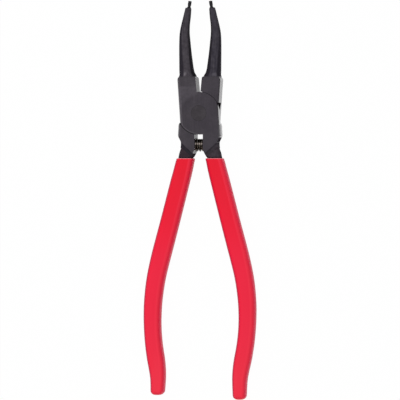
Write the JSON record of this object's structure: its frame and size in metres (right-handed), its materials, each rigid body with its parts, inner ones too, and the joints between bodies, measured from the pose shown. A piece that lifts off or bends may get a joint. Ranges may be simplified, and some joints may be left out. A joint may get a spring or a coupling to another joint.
{
  "type": "internal circlip pliers",
  "caption": "Long straight pliers with slim round tips for the eyes of internal retaining rings, a riveted lap joint sprung open, and bowed handles with dipped red grips.",
  "frame": {"origin": "on the pivot axis, in the plane of the joint's back face, which the tool lies on", "axes": "+Y towards the tips, +Z out of the front face, +X to the right seen from the front"},
  "size_m": [0.0887, 0.3108, 0.014],
  "materials": {
    "dark_steel": "dark phosphated forging, satin",
    "rivet_steel": "turned, ground flush and darkened",
    "spring_wire": "black spring wire, oiled",
    "black_steel": "blackened, satin",
    "red_coat": "dipped soft vinyl, satin"
  },
  "bodies": {
    "rear_half": {"rear_arm": "dark_steel", "pivot_rivet": "rivet_steel", "rear_tip": "black_steel", "rear_grip": "red_coat", "return_spring": "spring_wire"},
    "front_half": {"front_arm": "dark_steel", "front_tip": "black_steel", "front_grip": "red_coat"}
  },
  "joints": [
    {"name": "plier_pivot", "type": "hinge", "parent": "rear_half", "child": "front_half", "pos_m": [0, 0, 0], "axis": [0, 0, -1], "range_deg": [0, 8.5], "stiffness_Nm_per_rad": 3.2, "springref_deg": -2.86, "deforming": ["return_spring"]}
  ]
}
